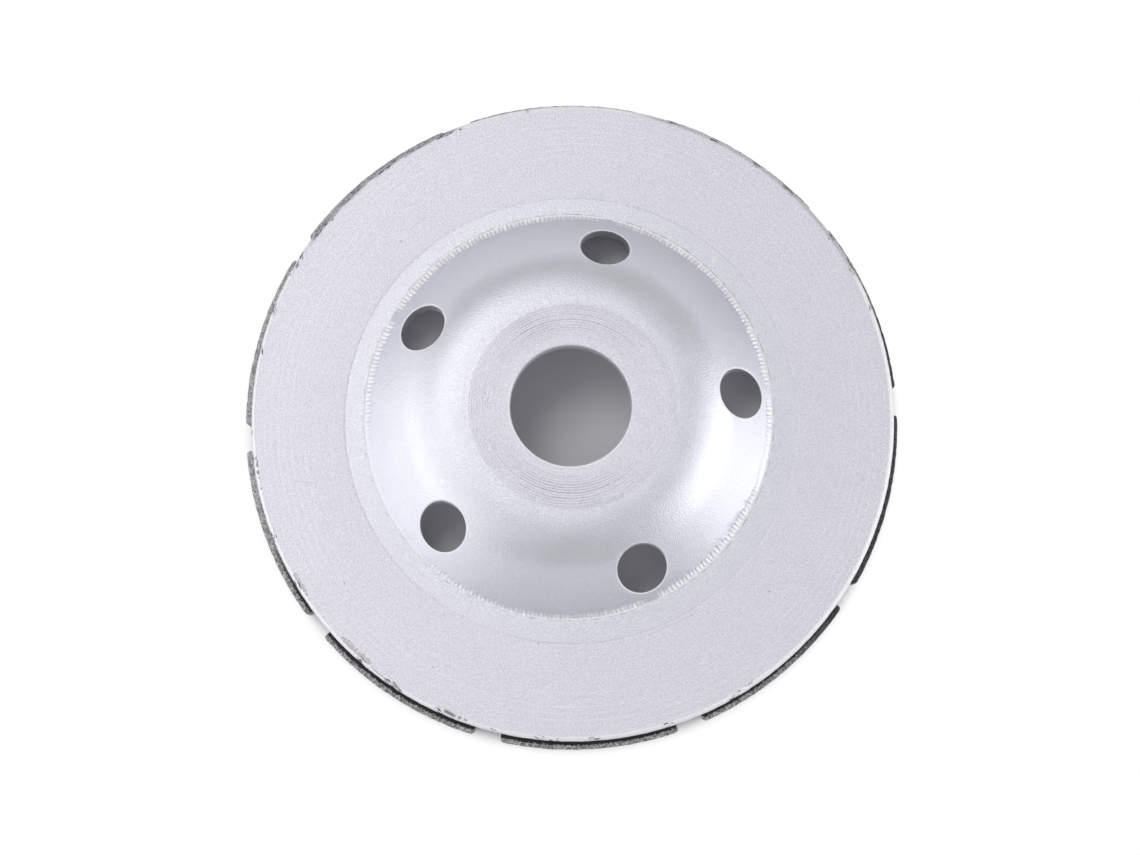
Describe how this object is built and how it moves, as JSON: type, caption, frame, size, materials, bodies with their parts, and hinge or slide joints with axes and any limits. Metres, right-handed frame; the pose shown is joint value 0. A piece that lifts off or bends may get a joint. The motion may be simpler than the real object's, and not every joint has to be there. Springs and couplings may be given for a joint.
{
  "type": "diamond cup wheel",
  "caption": "Round pressed-steel grinding cup with a raised hub, arbor bore, vent holes in its slope and arc-shaped abrasive segments under its flange.",
  "frame": {"origin": "centre of the wheel at the grinding face, level with the lowest face of the segments", "axes": "+Z along the spindle axis from the grinding face towards the hub's flat face; +X and +Y in the grinding plane, as the picture's right and up"},
  "size_m": [0.125, 0.125, 0.022],
  "materials": {
    "silver_paint": "satin",
    "diamond_matrix": "matte"
  },
  "bodies": {
    "root": {"cup_body": "silver_paint", "segment_01": "diamond_matrix", "segment_02": "diamond_matrix", "segment_03": "diamond_matrix", "segment_04": "diamond_matrix", "segment_05": "diamond_matrix", "segment_06": "diamond_matrix", "segment_07": "diamond_matrix", "segment_08": "diamond_matrix", "segment_09": "diamond_matrix", "segment_10": "diamond_matrix"}
  },
  "joints": []
}
